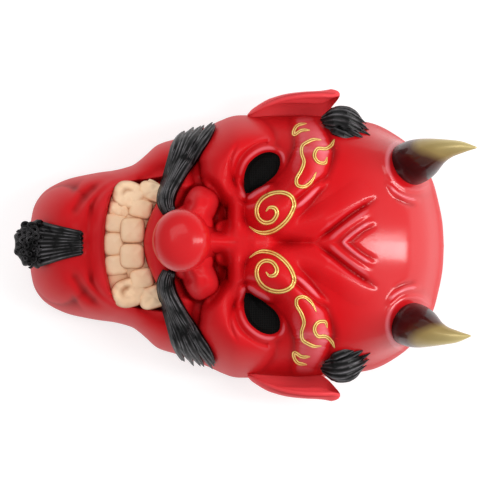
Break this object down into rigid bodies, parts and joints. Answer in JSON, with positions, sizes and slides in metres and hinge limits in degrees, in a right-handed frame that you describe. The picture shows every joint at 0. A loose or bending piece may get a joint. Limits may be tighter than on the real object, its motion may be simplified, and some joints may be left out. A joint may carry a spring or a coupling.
{
  "type": "demon festival mask",
  "caption": "Hollow horned demon-face mask with pointed ears, bulbous nose, moulded hair, bared teeth, foam pads and swinging strap rings inside.",
  "frame": {"origin": "middle of the rim's rest plane, under the middle of the outer box", "axes": "+X to the crown of the head, +Y to the wearer's right, +Z out of the face"},
  "size_m": [0.2877, 0.19, 0.137],
  "materials": {
    "red_resin": "glossy red lacquer on cast resin, airbrushed darker in the folds",
    "horn_paint": "satin, black root through dark red to antique gold",
    "black_hair": "satin black with grey dry-brushed strands",
    "tooth_resin": "matt tan with brown wash in the joints",
    "gold_paint": "hand-painted gold line on raised relief",
    "screen_cloth": "matt black see-through mesh",
    "foam": "open-cell foam",
    "steel": "plated steel"
  },
  "bodies": {
    "mask": {"face_shell": "red_resin", "ear_left": "red_resin", "ear_right": "red_resin", "nose_bulb": "red_resin", "horn_left": "horn_paint", "horn_right": "horn_paint", "moustache_left": "black_hair", "moustache_right": "black_hair", "goatee": "black_hair", "temple_hair_left": "black_hair", "temple_hair_right": "black_hair", "upper_teeth": "tooth_resin", "lower_teeth": "tooth_resin", "eye_screen_left": "screen_cloth", "eye_screen_right": "screen_cloth", "forehead_pad": "foam", "cheek_pad_left": "foam", "cheek_pad_right": "foam", "strap_tab_left": "steel", "strap_screw_left": "steel", "strap_tab_right": "steel", "strap_screw_right": "steel", "strap_tab_crown": "steel", "strap_screw_crown": "steel"},
    "ring_left": {"strap_ring_left": "steel"},
    "ring_right": {"strap_ring_right": "steel"},
    "ring_crown": {"strap_ring_crown": "steel"}
  },
  "joints": [
    {"name": "strap_ring_left_swing", "type": "hinge", "parent": "mask", "child": "ring_left", "pos_m": [0.03732, -0.07335, 0.02415], "axis": [1, 0.0068, 0], "range_deg": [-8, 130]},
    {"name": "strap_ring_right_swing", "type": "hinge", "parent": "mask", "child": "ring_right", "pos_m": [0.03732, 0.07336, 0.02416], "axis": [-1, 0.006, 0], "range_deg": [-8, 130]},
    {"name": "strap_ring_crown_swing", "type": "hinge", "parent": "mask", "child": "ring_crown", "pos_m": [0.11565, 0, 0.02396], "axis": [0, 1, 0], "range_deg": [-8, 130]}
  ]
}
